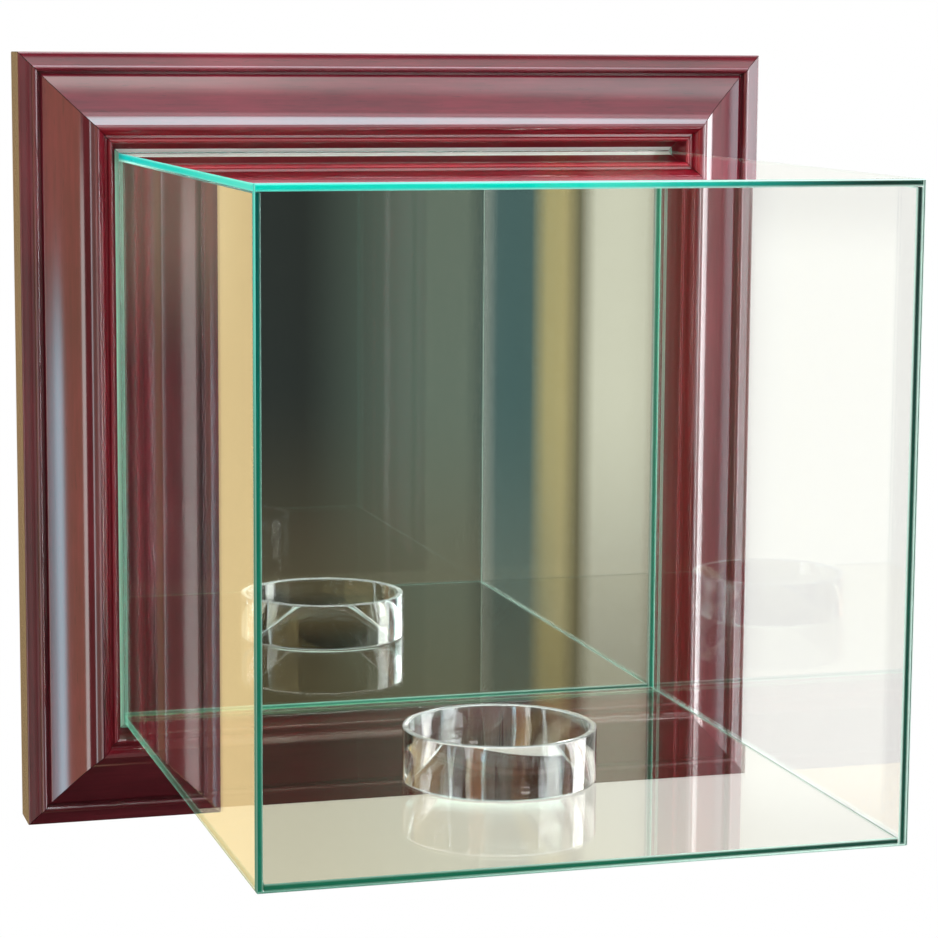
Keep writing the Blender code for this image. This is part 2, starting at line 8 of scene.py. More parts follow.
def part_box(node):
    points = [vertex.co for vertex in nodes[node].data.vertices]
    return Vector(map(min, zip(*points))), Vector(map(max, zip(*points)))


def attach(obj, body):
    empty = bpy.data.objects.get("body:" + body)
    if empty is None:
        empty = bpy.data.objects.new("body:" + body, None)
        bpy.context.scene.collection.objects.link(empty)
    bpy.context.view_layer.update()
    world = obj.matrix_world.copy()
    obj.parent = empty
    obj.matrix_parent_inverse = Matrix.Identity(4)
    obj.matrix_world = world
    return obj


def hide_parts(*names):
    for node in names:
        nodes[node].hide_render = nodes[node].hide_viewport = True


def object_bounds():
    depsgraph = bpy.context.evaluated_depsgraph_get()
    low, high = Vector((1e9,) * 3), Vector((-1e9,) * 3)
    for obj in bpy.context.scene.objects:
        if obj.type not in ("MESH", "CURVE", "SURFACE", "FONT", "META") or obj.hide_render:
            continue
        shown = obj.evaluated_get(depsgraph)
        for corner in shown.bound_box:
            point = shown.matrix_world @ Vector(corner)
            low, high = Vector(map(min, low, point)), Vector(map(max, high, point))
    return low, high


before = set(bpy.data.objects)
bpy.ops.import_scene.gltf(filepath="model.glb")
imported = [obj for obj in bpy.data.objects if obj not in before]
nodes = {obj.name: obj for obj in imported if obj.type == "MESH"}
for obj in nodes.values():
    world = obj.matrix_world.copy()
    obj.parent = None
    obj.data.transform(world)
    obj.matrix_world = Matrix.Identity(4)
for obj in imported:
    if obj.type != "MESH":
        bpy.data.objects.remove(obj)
cadLow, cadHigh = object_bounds()
print("frame loaded:", len(nodes), "nodes")


# Helpers for node trees

class Wire:
    # wraps a socket, so that shader maths reads as plain sums

    def __init__(self, maker, socket):
        self.maker = maker
        self.socket = socket

    def maths(self, operation, *others):
        return self.maker.maths(operation, self, *others)

    def __add__(self, other):
        return self.maths("ADD", other)

    def __radd__(self, other):
        return self.maths("ADD", other)

    def __sub__(self, other):
        return self.maths("SUBTRACT", other)

    def __rsub__(self, other):
        return self.maker.maths("SUBTRACT", other, self)

    def __mul__(self, other):
        return self.maths("MULTIPLY", other)

    def __rmul__(self, other):
        return self.maths("MULTIPLY", other)

    def __truediv__(self, other):
        return self.maths("DIVIDE", other)

    def __rtruediv__(self, other):
        return self.maker.maths("DIVIDE", other, self)

    def __gt__(self, other):
        return self.maths("GREATER_THAN", other)

    def __lt__(self, other):
        return self.maths("LESS_THAN", other)

    def __abs__(self):
        return self.maths("ABSOLUTE")

    def larger(self, other):
        return self.maths("MAXIMUM", other)

    def eased(self, low, high, start=0.0, end=1.0):
        # carries low..high over to start..end with soft ends, held outside
        values = {"Value": self, "From Min": low, "From Max": high, "To Min": start, "To Max": end}
        return self.maker.node("ShaderNodeMapRange", {"interpolation_type": "SMOOTHSTEP"}, values)

    def band(self, low, high, blur):
        # 1 between low and high, 0 outside, with soft ends
        return self.eased(low - blur, low + blur) * self.eased(high - blur, high + blur, 1.0, 0.0)


class Maker:
    # adds nodes to one tree, of a material, a world or a geometry group

    def __init__(self, tree):
        self.tree = tree
        self.tree.nodes.clear()

    def node(self, kind, settings=None, values=None, out=0):
        # settings are the node's own properties, values its sockets, by name or number
        made = self.tree.nodes.new(kind)
        for name, value in (settings or {}).items():
            if name == "stops":
                self.setStops(made.color_ramp, value)
            else:
                setattr(made, name, value)
        for name, value in (values or {}).items():
            socket = made.inputs[name]
            if isinstance(value, Wire):
                self.tree.links.new(value.socket, socket)
            elif isinstance(value, tuple) and len(value) == 3 and socket.type == "RGBA":
                socket.default_value = (*value, 1.0)
            else:
                socket.default_value = value
        return Wire(self, made.outputs[out]) if made.outputs else made

    def setStops(self, ramp, stops):
        while len(ramp.elements) < len(stops):
            ramp.elements.new(1.0)
        for element, (place, colour) in zip(ramp.elements, stops):
            element.position = place
            element.color = (*colour, 1.0)

    def maths(self, operation, *terms):
        return self.node("ShaderNodeMath", {"operation": operation}, dict(enumerate(terms)))

    def mixed(self, share, first, second):
        # mixes two colours; a Mix node's colour sockets are its numbers 6 and 7
        return self.node("ShaderNodeMix", {"data_type": "RGBA"}, {0: share, 6: first, 7: second}, 2)

    def split(self, vector):
        return [self.node("ShaderNodeSeparateXYZ", None, {0: vector}, out) for out in range(3)]


class Finish(Maker):
    # one surface material

    def __init__(self, name):
        self.made = bpy.data.materials.new(name)
        self.made.use_nodes = True
        super().__init__(self.made.node_tree)
        self.point = self.node("ShaderNodeTexCoord", out="Object")  # in metres
        self.x, self.y, self.z = self.split(self.point)

    def stretched(self, scale):
        return self.node("ShaderNodeMapping", None, {"Vector": self.point, "Scale": scale})

    def noise(self, scale, detail=3.0, roughness=0.5, stretch=(1, 1, 1)):
        values = {"Vector": self.stretched(stretch), "Scale": scale, "Detail": detail, "Roughness": roughness}
        return self.node("ShaderNodeTexNoise", None, values)

    def bumped(self, height, distance, strength=1.0):
        values = {"Height": height, "Distance": distance, "Strength": strength}
        return self.node("ShaderNodeBump", None, values)

    def principled(self, **sockets):
        # baseColor names the socket Base Color, and so on
        values = {}
        for name, value in sockets.items():
            words = "".join(" " + letter if letter.isupper() else letter for letter in name)
            values[(words[0].upper() + words[1:]).replace("Ior", "IOR")] = value
        return self.node("ShaderNodeBsdfPrincipled", None, values)

    def blended(self, share, first, second):
        return self.node("ShaderNodeMixShader", None, {0: share, 1: first, 2: second})

    def clearToLight(self, surface, colour):
        # lets lamplight straight through a clear piece, tinted a little
        shadowRay = self.node("ShaderNodeLightPath", out="Is Shadow Ray")
        clear = self.node("ShaderNodeBsdfTransparent", None, {"Color": colour})
        return self.blended(shadowRay, surface, clear)

    def finished(self, surface):
        self.node("ShaderNodeOutputMaterial", None, {"Surface": surface})
        return self.made


def screenColour(red, green, blue):
    # a colour as a screen shows it, 0 to 255, turned into linear light
    shares = [value / 255 for value in (red, green, blue)]
    return tuple(share / 12.92 if share <= 0.04045 else ((share + 0.055) / 1.055) ** 2.4 for share in shares)


def dress(names, material):
    # gives CAD nodes their finish
    for name in names:
        nodes[name].data.materials.clear()
        nodes[name].data.materials.append(material)


def addPiece(name, mesh, material, body, replaced=()):
    # links a finished mesh that is already in its place, and ties it to the frame
    piece = bpy.data.objects.new(name, mesh)
    bpy.context.scene.collection.objects.link(piece)
    mesh.materials.clear()
    mesh.materials.append(material)
    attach(piece, body)
    if replaced:
        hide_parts(*replaced)


joining = {
    # metres between points that join, degrees between faces that join, and how far off a flat face may turn
    "distance": 0.000002,
    "flatAngle": 0.05,
    "tolerance": 0.001,
}


def smoothCopy(name, angle):
    # a copy of a CAD node's mesh, with its triangles joined and its round faces shaded smooth
    mesh = nodes[name].data.copy()
    shape = bmesh.new()
    shape.from_mesh(mesh)
    bmesh.ops.remove_doubles(shape, verts=shape.verts, dist=joining["distance"])
    flat = math.radians(joining["flatAngle"])
    bmesh.ops.dissolve_limit(shape, angle_limit=flat, verts=shape.verts, edges=shape.edges)
    shape.to_mesh(mesh)
    shape.free()
    mesh.shade_smooth()
    mesh.set_sharp_from_angle(angle=math.radians(angle))
    return mesh


# Camera, at the photograph's place and angle

cameraView = {
    "place": (-0.3897, -1.4778, 0.0893),
    "turnRight": 16.33,
    "tiltDown": 8.21,
    "roll": 0.38,
    "focalPixels": 2979.4,
    "imagePixels": 938,
    "sensorWidth": 36.0,
}


def makeCamera():
    yaw, pitch, roll = (math.radians(cameraView[key]) for key in ("turnRight", "tiltDown", "roll"))
    ahead = Vector((math.sin(yaw) * math.cos(pitch), math.cos(yaw) * math.cos(pitch), -math.sin(pitch)))
    level = Vector((math.cos(yaw), -math.sin(yaw), 0))
    above = level.cross(ahead)
    right = level * math.cos(roll) + above * math.sin(roll)
    up = above * math.cos(roll) - level * math.sin(roll)
    data = bpy.data.cameras.new("camera")
    data.sensor_width = cameraView["sensorWidth"]
    data.lens = cameraView["focalPixels"] * cameraView["sensorWidth"] / cameraView["imagePixels"]
    camera = bpy.data.objects.new("camera", data)
    turn = Matrix((right, up, -ahead)).transposed().to_4x4()
    camera.matrix_world = Matrix.Translation(cameraView["place"]) @ turn
    bpy.context.scene.collection.objects.link(camera)
    bpy.context.scene.camera = camera


makeCamera()
bpy.context.scene.view_settings.view_transform = "Standard"
print("camera placed")


# Studio: pale floor, white surroundings, and a room in front that only reflections show

studio = {
    "floorDrop": 0.55,
    "floorSize": 12.0,
    "floorColour": (0.80, 0.80, 0.79),
    "floorRoughness": 0.8,
    "nearGlow": 0.62,
    "shadowReach": (0.5, 1.6),
    "daylight": (0.45, 0.45, 0.44),
    # walls of the room that reflections show: azimuths from the front, left ones below zero, and colour
    "roomReach": 40.0,
    "walls": (
        (-40.0, -40.0, (120, 100, 76)),
        (-35.2, -22.08, (255, 253, 242)),
        (-21.44, -20.08, (96, 54, 46)),
        (-19.72, -18.76, (255, 253, 242)),
        (-18.6, -18.4, (112, 106, 70)),
        (-18.28, -17.92, (250, 238, 190)),
        (-17.72, -16.88, (132, 165, 164)),
        (-16.48, -11.2, (255, 253, 242)),
        (-3.2, -3.2, (196, 184, 158)),
        (3.2, 3.2, (96, 88, 74)),
        (8.0, 8.0, (58, 66, 66)),
        (13.2, 13.2, (50, 54, 52)),
        (15.2, 16.32, (98, 112, 102)),
        (16.72, 17.496, (34, 58, 60)),
        (17.72, 18.096, (172, 152, 92)),
        (18.2, 18.4, (76, 72, 52)),
        (18.6, 19.6, (212, 208, 186)),
        (20.4, 20.4, (110, 96, 74)),
        (40.0, 40.0, (60, 54, 46)),
    ),
    # heights, as the sine of their elevation, over which walls pass into ceiling and ground
    "ceiling": screenColour(196, 190, 184),
    "ceilingReach": (0.25, 0.60),
    "below": screenColour(44, 32, 26),
    "belowReach": (-0.60, -0.30),
    # what lies behind the case, from left to right, and where one passes into the next
    "behindLeft": (1.35, 1.02, 0.50),
    "behindEdge": screenColour(158, 134, 96),
    "behindMiddle": screenColour(236, 228, 204),
    "behindRight": (1.05, 1.05, 1.0),
    "behindReaches": ((-0.18, -0.14), (-0.10, 0.20), (0.26, 0.38)),
    "sideReach": (-0.25, 0.0),
    # lit places of that room, laid over it in this order: azimuths, heights, how soft both ends are, light
    "litPlaces": {
        "leftWall": ((-53.0, -33.0), (-0.70, 0.55), (0.8, 0.06), (2.3, 1.3, 0.8)),
        "leftWindow": ((-37.6, -33.0), (-0.62, -0.095), (0.8, 0.03), (3.2, 4.6, 5.2)),
        "leftCurtain": ((-38.0, -35.4), (-0.62, -0.095), (0.8, 0.03), (7.0, 10.4, 12.0)),
        "leftDoor": ((-57.5, -51.0), (-0.70, -0.045), (0.6, 0.015), (7.4, 7.2, 6.9)),
        "leftPassage": ((-79.5, -75.5), (-0.62, 0.30), (0.8, 0.06), (5.5, 6.3, 6.6)),
        "lowCupboard": ((11.9, 20.6), (-0.60, -0.17), (0.5, 0.06), screenColour(104, 94, 72)),
        "paleWall": ((21.75, 24.5), (-0.25, -0.062), (0.12, 0.012), (1.5, 1.5, 1.34)),
        "dimWall": ((8.6, 11.7), (-0.085, 0.060), (0.4, 0.03), (0.22, 0.23, 0.18)),
        "groundLight": ((-90.0, 90.0), (-2.0, -0.988), (3.0, 0.004), (4.0, 2.6, 1.5)),
        "rightBlind": ((32.0, 58.0), (-0.055, 0.300), (1.0, 0.012), (8.0, 8.6, 9.0)),
        "rightWindow": ((42.0, 61.0), (-0.62, 0.30), (1.0, 0.06), (7.6, 8.4, 8.8)),
        "rightReveal": ((61.0, 66.0), (-0.62, 0.30), (1.5, 0.06), (3.8, 4.8, 5.2)),
        "rightWall": ((68.0, 80.0), (-0.16, 0.60), (1.5, 0.06), (1.8, 1.4, 1.4)),
        "sideWindow": ((84.0, 105.0), (-0.70, 0.75), (2.0, 0.06), (13.0, 13.2, 13.6)),
        "lowLamp": ((9.7, 21.0), (-0.036, -0.027), (0.2, 0.003), (20.0, 18.5, 19.0)),
        "highLamp": ((9.7, 21.0), (0.025, 0.055), (0.2, 0.005), (7.0, 6.8, 6.8)),
        "ceilingEdge": ((-35.0, 62.0), (0.34, 0.60), (1.0, 0.04), (2.3, 3.1, 3.0)),
        "ceilingLeft": ((-35.0, 19.0), (0.60, 0.70), (5.0, 0.04), (6.0, 6.8, 6.5)),
        "ceilingRight": ((19.0, 62.0), (0.60, 0.70), (5.0, 0.04), (3.6, 4.8, 4.8)),
        "ceilingMiddle": ((-35.0, 62.0), (0.70, 0.86), (5.0, 0.04), (1.7, 1.8, 1.9)),
        "ceilingBeam": ((-62.0, 125.0), (0.86, 0.915), (3.0, 0.02), (3.8, 3.6, 3.8)),
        "ceilingBehind": ((125.0, 178.0), (0.70, 2.0), (3.0, 0.08), (3.2, 2.8, 3.2)),
        "skylightLeft": ((-180.0, 28.0), (0.925, 2.0), (6.0, 0.015), (6.6, 7.6, 7.5)),
        "skylightRight": ((28.0, 90.0), (0.925, 2.0), (6.0, 0.015), (8.6, 11.6, 12.4)),
        "skylightBehind": ((90.0, 150.0), (0.925, 2.0), (6.0, 0.015), (5.4, 5.5, 6.0)),
    },
}

lamps = {
    # name: place, size across, size high, watts, colour, where it points
    "ceilingLamp": ((0.10, -0.75, 0.95), 1.3, 0.9, 15.0, (1.0, 0.985, 0.97), (0.0, -0.03, -0.05)),
    "sideLamp": ((-1.30, -1.00, 0.10), 0.6, 0.9, 3.0, (0.90, 0.96, 1.0), (-0.10, -0.03, -0.10)),
}


def makeFloor():
    half = studio["floorSize"] / 2
    height = cadLow.z - studio["floorDrop"]
    mesh = bpy.data.meshes.new("floor")
    corners = [(-half, -half, height), (half, -half, height), (half, half, height), (-half, half, height)]
    mesh.from_pydata(corners, [], [(0, 1, 2, 3)])
    floor = bpy.data.objects.new("floor", mesh)
    bpy.context.scene.collection.objects.link(floor)
    look = Finish("paleFloor")
    matt = look.principled(baseColor=studio["floorColour"], roughness=studio["floorRoughness"])
    white = look.node("ShaderNodeEmission", None, {"Color": (1, 1, 1), "Strength": 1.0})
    cameraRay = look.node("ShaderNodeLightPath", out="Is Camera Ray")
    glassRay = look.node("ShaderNodeLightPath", out="Is Transmission Ray")
    reflected = look.node("ShaderNodeLightPath", out="Glossy Depth") > 0.5
    distance = look.maths("SQRT", look.x * look.x + look.y * look.y)
    near, far = studio["shadowReach"]
    glow = cameraRay.larger(glassRay) * distance.eased(near, far, studio["nearGlow"], 1.0)
    clear = look.node("ShaderNodeBsdfTransparent")
    mesh.materials.append(look.finished(look.blended(reflected, look.blended(glow, matt, white), clear)))


def roomStops():
    # one colour stop at each end of every wall
    stops = []
    for left, right, colour in studio["walls"]:
        for azimuth in sorted({left, right}):
            stops.append((azimuth / (2 * studio["roomReach"]) + 0.5, screenColour(*colour)))
    return stops


def makeWorld():
    world = bpy.data.worlds.new("studio")
    world.use_nodes = True
    bpy.context.scene.world = world
    sky = Maker(world.node_tree)
    x, y, z = sky.split(sky.node("ShaderNodeTexCoord"))
    azimuth = sky.maths("ARCTAN2", x, y * -1) * (180 / math.pi)
    across = azimuth / (2 * studio["roomReach"]) + 0.5
    room = sky.node("ShaderNodeValToRGB", {"stops": roomStops()}, {0: across})
    behind = studio["behindLeft"]
    for reach, part in zip(studio["behindReaches"], ("behindEdge", "behindMiddle", "behindRight")):
        behind = sky.mixed(x.eased(*reach), behind, studio[part])
    around = sky.mixed(y.eased(*studio["sideReach"]), room, behind)
    around = sky.mixed(z.eased(*studio["ceilingReach"]), around, studio["ceiling"])
    around = sky.mixed(z.eased(*studio["belowReach"]), studio["below"], around)
    for (left, right), (foot, head), (sideBlur, heightBlur), light in studio["litPlaces"].values():
        place = azimuth.band(left, right, sideBlur) * z.band(foot, head, heightBlur)
        around = sky.mixed(place, around, light)
    cameraRay = sky.node("ShaderNodeLightPath", out="Is Camera Ray")
    glassRay = sky.node("ShaderNodeLightPath", out="Is Transmission Ray")
    colour = sky.mixed(cameraRay.larger(glassRay), studio["daylight"], (1.0, 1.0, 1.0))
    reflected = sky.node("ShaderNodeLightPath", out="Glossy Depth") > 0.5
    colour = sky.mixed(reflected, colour, around)
    light = sky.node("ShaderNodeBackground", None, {"Color": colour, "Strength": 1.0})
    sky.node("ShaderNodeOutputWorld", None, {"Surface": light})


def makeLamps():
    for name, (place, across, high, watts, colour, target) in lamps.items():
        data = bpy.data.lights.new(name, "AREA")
        data.shape = "RECTANGLE"
        data.size = across
        data.size_y = high
        data.energy = watts
        data.color = colour
        lamp = bpy.data.objects.new(name, data)
        lamp.location = place
        lamp.rotation_euler = (Vector(target) - Vector(place)).to_track_quat("-Z", "Y").to_euler()
        lamp.visible_camera = False
        lamp.visible_transmission = False
        lamp.visible_glossy = False
        bpy.context.scene.collection.objects.link(lamp)


makeFloor()
makeWorld()
makeLamps()
print("studio ready")


# Frame members: cherry-stained wood under clear lacquer, its grain along each member, with painted light and
# shade

wood = {
    # each member's grain runs along its stretched axis; across is the axis over its width, outerSide the
    # side of its outer edge; paintedLightShare mixes a shaded and a lit copy of the stain by how light falls
    # on the member, which is painted shade and light; innerRed is a painted lit red strip along its
    # inner edge, and innerGloss is that strip's lacquer
    "members": {
        "frame_top_rail": {
            "stretch": (0.06, 1, 1), "paintedLightShare": 1.0, "across": 2, "outerSide": 1,
            "innerRed": 1.0, "innerGloss": 1.0,
        },
        "frame_bottom_rail": {
            "stretch": (0.06, 1, 1), "paintedLightShare": 0.30, "across": 2, "outerSide": -1,
            "innerRed": 0.25, "innerGloss": 1.0,
        },
        "frame_left_stile": {
            "stretch": (1, 1, 0.06), "paintedLightShare": 0.45, "across": 0, "outerSide": -1,
            "innerRed": 0.36, "innerGloss": 0.4,
        },
        "frame_right_stile": {
            "stretch": (1, 1, 0.06), "paintedLightShare": 0.75, "across": 0, "outerSide": 1,
            "innerRed": 0.80, "innerGloss": 0.8,
        },
    },
    # where the painted lit red strip along the inner edge lies, and the grain tones it shows on
    "innerReach": (0.0355, 0.0385),
    "innerDepth": -0.001,
    "innerPaintedLightColour": screenColour(146, 13, 32),
    "innerTones": (0.2, 0.7),
    # a shaded and a lit copy of the one stain, mixed per member: painted shade and painted light
    "paintedShadeStops": (
        (0.34, screenColour(40, 8, 12)),
        (0.50, screenColour(56, 14, 18)),
        (0.66, screenColour(74, 22, 26)),
    ),
    "paintedLightStops": (
        (0.34, screenColour(78, 12, 24)),
        (0.50, screenColour(104, 20, 36)),
        (0.66, screenColour(126, 34, 50)),
    ),
    "cloudScale": 24.0,
    "cloudStretch": 0.4,
    "cloudShare": 0.75,
    "fibreScale": 520.0,
    "fibreDepth": 0.000004,
    "fibreStrength": 0.3,
    "poreScale": 1500.0,
    "poreReach": (0.64, 0.72),
    "poreColour": screenColour(24, 2, 5),
    "poreShare": 0.4,
    "poreSink": 0.5,
    "roughness": 0.5,
    "underGloss": 0.1,
    "coatRoughness": 0.085,
    "smoothAngle": 32,
}


def lacqueredWood(name, member):
    look = Finish(name + "Wood")
    low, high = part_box(name)
    axis = member["across"]
    place = (look.x, look.y, look.z)[axis]
    fromEdge = high[axis] - place if member["outerSide"] > 0 else place - low[axis]
    cloudStretch = tuple(share ** wood["cloudStretch"] for share in member["stretch"])
    cloud = look.noise(wood["cloudScale"], 4.0, 0.6, cloudStretch)
    fibre = look.noise(wood["fibreScale"], 3.0, 0.6, member["stretch"])
    pores = look.noise(wood["poreScale"], 2.0, 0.5, member["stretch"]).eased(*wood["poreReach"])
    tone = cloud * wood["cloudShare"] + fibre * (1 - wood["cloudShare"])
    # each member's stain is mixed from a shaded and a lit copy by how light falls on it: painted shade and
    # light
    shadedStain = look.node("ShaderNodeValToRGB", {"stops": wood["paintedShadeStops"]}, {0: tone})
    light = look.node("ShaderNodeValToRGB", {"stops": wood["paintedLightStops"]}, {0: tone})
    stainAndPaintedShade = look.mixed(member["paintedLightShare"], shadedStain, light)
    # a brighter red strip along the inner edge, strongest on the top and right members: painted light
    inner = fromEdge.eased(*wood["innerReach"]) * (look.y < wood["innerDepth"])
    red = inner * member["innerRed"] * tone.eased(*wood["innerTones"], 0.5, 1.0)
    colour = look.mixed(red, stainAndPaintedShade, wood["innerPaintedLightColour"])
    colour = look.mixed(pores * wood["poreShare"], colour, wood["poreColour"])
    grain = look.bumped(fibre - pores * wood["poreSink"], wood["fibreDepth"], wood["fibreStrength"])
    surface = look.principled(
        baseColor=colour, roughness=wood["roughness"], specularIorLevel=wood["underGloss"], normal=grain,
        coatWeight=1 - inner * (1 - member["innerGloss"]), coatRoughness=wood["coatRoughness"],
    )
    return look.finished(surface)


def flatBack(mesh):
    # keeps the rounds beside the flat back from bending its shading
    for face in mesh.polygons:
        if face.normal.y > 1 - joining["tolerance"]:
            for loop in face.loop_indices:
                mesh.edges[mesh.loops[loop].edge_index].use_edge_sharp = True
    return mesh


for name, member in wood["members"].items():
    mesh = flatBack(smoothCopy(name, wood["smoothAngle"]))
    addPiece(name + "_lacquered", mesh, lacqueredWood(name, member), "case", (name,))
print("frame members lacquered")


# Glass panes: clear faces, teal edges with painted light and a painted glow, painted pale arrises

glass = {
    "faceTint": (0.995, 0.995, 0.985),
    # painted tints of a pane seen at a low angle, at its left and its right, standing in for a shaded wall
    # seen through it
    "paintedSlantTints": {"glass_bottom": ((0.94, 0.88, 0.52), (1.0, 1.0, 0.93))},
    "slantReach": (0.45, 0.68),
    "shadowTint": (0.97, 0.98, 0.96),
    "ior": 1.50,
    "arris": 0.00042,
    "edgeRoughness": 0.22,
    "edgeGloss": 0.02,
    "edgeGlow": 0.30,
    # painted highlight: the edges pale towards both faces, more so on the right
    "paintedArrisLight": screenColour(214, 244, 234),
    "paleReach": (0.30, 0.95),
    "paleAcross": (-0.14, 0.14),
    "paintedArrisShares": (0.20, 0.85),
    # how far along an edge its colour changes over
    "changeover": (0.45, 0.95),
    # pane: thin axis, then the edge colours at the corners low-low, high-low, low-high and high-high
    # of the other two axes: teal glass with painted light and shade that brighten or darken it corner by
    # corner
    "panes": {
        "glass_front": (1, ((6, 104, 82), (14, 62, 54), (18, 196, 180), (14, 58, 52))),
        "glass_left": (0, ((6, 112, 90), (104, 204, 172), (8, 84, 78), (176, 236, 218))),
        "glass_right": (0, ((10, 72, 60), (0, 176, 146), (18, 50, 48), (0, 196, 156))),
        "glass_top": (2, ((10, 226, 206), (8, 60, 52), (0, 232, 222), (40, 150, 140))),
        "glass_bottom": (2, ((6, 98, 74), (16, 66, 56), (96, 204, 172), (40, 136, 116))),
    },
}


def edgeMask(look, name, thin):
    # 1 on a plate's ground edges, 0 on its two faces
    low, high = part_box(name)
    axes = (look.x, look.y, look.z)
    masks = []
    for axis in range(3):
        if axis != thin:
            reach = (high[axis] - low[axis]) / 2 - glass["arris"]
            masks.append(abs(axes[axis] - (low[axis] + high[axis]) / 2) > reach)
    return masks[0].larger(masks[1])


def paneGlass(name, thin, colours):
    # where a listed pane is seen at a low angle it takes a painted yellow tint, deeper on the left, for a
    # shaded wall seen through it
    look = Finish(name + "Glass")
    low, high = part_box(name)
    tint = glass["faceTint"]
    if name in glass["paintedSlantTints"]:
        slant = look.node("ShaderNodeLayerWeight", None, {"Blend": 0.5}, 1).eased(*glass["slantReach"])
        leftTint, rightTint = glass["paintedSlantTints"][name]
        paintedSeenThroughTint = look.mixed(look.x.eased(low.x, high.x), leftTint, rightTint)
        tint = look.mixed(slant, tint, paintedSeenThroughTint)
    axes = (look.x, look.y, look.z)
    start, end = glass["changeover"]
    across, along = [
        ((axes[axis] - low[axis]) / (high[axis] - low[axis])).eased(start, end)
        for axis in range(3) if axis != thin
    ]
    lowLow, highLow, lowHigh, highHigh = [screenColour(*colour) for colour in colours]
    edgeTealAndPaintedLight = look.mixed(along, look.mixed(across, lowLow, highLow), look.mixed(across, lowHigh, highHigh))
    # painted highlight: the edge pales towards both faces, more on the right
    fromMiddle = abs(axes[thin] - (low[thin] + high[thin]) / 2) / ((high[thin] - low[thin]) / 2)
    pale = fromMiddle.eased(*glass["paleReach"])
    pale = pale * look.x.eased(*glass["paleAcross"], *glass["paintedArrisShares"])
    edgeTealAndPaintedLight = look.mixed(pale, edgeTealAndPaintedLight, glass["paintedArrisLight"])
    clear = look.principled(baseColor=tint, roughness=0.0, transmissionWeight=1.0, ior=glass["ior"])
    # the ground edges glow a little though they are no lamp: painted glow
    ground = look.principled(
        baseColor=edgeTealAndPaintedLight, roughness=glass["edgeRoughness"], specularIorLevel=glass["edgeGloss"],
        emissionColor=edgeTealAndPaintedLight, emissionStrength=glass["edgeGlow"], ior=glass["ior"],
    )
    edge = edgeMask(look, name, thin)
    return look.finished(look.blended(edge, look.clearToLight(clear, glass["shadowTint"]), ground))


for name, (thin, colours) in glass["panes"].items():
    dress([name], paneGlass(name, thin, colours))
print("panes glazed")


# Mirror: a clear plate with a thin silver layer behind it

mirror = {
    "silverThickness": 0.0001,
    "silverGap": 0.00008,
    "silver": (0.90, 0.92, 0.90),
    "plateTint": (0.97, 0.99, 0.975),
    "edge": screenColour(40, 110, 92),
    "edgeRoughness": 0.3,
    "hazeScale": 14.0,
    "haze": 0.012,
}


def makeMirror():
    plate = Finish("mirrorGlass")
    edge = edgeMask(plate, "mirror_plate", 1)
    clear = plate.principled(
        baseColor=mirror["plateTint"], roughness=0.0, transmissionWeight=1.0, ior=glass["ior"],
    )
    ground = plate.principled(baseColor=mirror["edge"], roughness=mirror["edgeRoughness"])
    surface = plate.blended(edge, plate.clearToLight(clear, mirror["plateTint"]), ground)
    dress(["mirror_plate"], plate.finished(surface))
    low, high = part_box("mirror_plate")
    near = high.y + mirror["silverGap"]
    size = (high.x - low.x, mirror["silverThickness"], high.z - low.z)
    middle = ((low.x + high.x) / 2, near + mirror["silverThickness"] / 2, (low.z + high.z) / 2)
    shape = bmesh.new()
    bmesh.ops.create_cube(shape, size=1, matrix=Matrix.Translation(middle) @ Matrix.Diagonal((*size, 1)))
    mesh = bpy.data.meshes.new("mirror_silver")
    shape.to_mesh(mesh)
    shape.free()
    coat = Finish("silverLayer")
    haze = coat.noise(mirror["hazeScale"]).eased(0.3, 0.8, 0.0, mirror["haze"])
    surface = coat.principled(baseColor=mirror["silver"], metallic=1.0, roughness=haze)
    addPiece("mirror_silver", mesh, coat.finished(surface), "case")


makeMirror()
print("mirror silvered")


# Bond beads: clear cured silicone with a slightly uneven skin, milky, with painted light and a painted glow

bond = {
    "colour": (0.93, 0.96, 0.93),
    # milky colour of each side's bead, lighter on top and darker at the bottom: painted light and shade
    "milk": {
        "top": screenColour(242, 246, 240),
        "bottom": screenColour(150, 190, 168),
        "left": screenColour(176, 226, 204),
        "right": screenColour(176, 206, 190),
    },
    "milkShare": 0.85,
    "milkGlow": 0.14,
    "milkRoughness": 0.35,
    "roughness": 0.22,
    "ior": 1.41,
    "skinScale": 70.0,
    "skinDepth": 0.00012,
    "skinStrength": 0.6,
    "smoothAngle": 40,
}


def siliconeFinish(side):
    look = Finish(side + "Bond")
    skin = look.bumped(look.noise(bond["skinScale"], 2.0), bond["skinDepth"], bond["skinStrength"])
    clear = look.principled(
        baseColor=bond["colour"], roughness=bond["roughness"], transmissionWeight=1.0, ior=bond["ior"],
        normal=skin,
    )
    # the milky skin glows a little though it is no lamp: painted glow
    milkyPaintedLight = look.principled(
        baseColor=bond["milk"][side], roughness=bond["milkRoughness"], normal=skin,
        emissionColor=bond["milk"][side], emissionStrength=bond["milkGlow"],
    )
    return look.finished(look.blended(bond["milkShare"], look.clearToLight(clear, bond["colour"]), milkyPaintedLight))


for side in ("top", "bottom", "left", "right"):
    name = "bond_bead_" + side
    mesh = smoothCopy(name, bond["smoothAngle"])
    addPiece(name + "_smooth", mesh, siliconeFinish(side), "case", (name,))
print("bond beads laid")


# Riser ring: clear acrylic tube with saw-polished rims

ring = {
    "steps": 192,
    "edgeRadius": 0.0006,
    "edgeSteps": 4,
    "tint": (0.975, 0.985, 0.98),
    "rimColour": screenColour(236, 240, 236),
    "rimShare": 0.25,
    "rimDepth": 0.0006,
    "rimRoughness": 0.35,
    "wall": 0.0032,
    "ior": 1.49,
    "smoothAngle": 50,
}


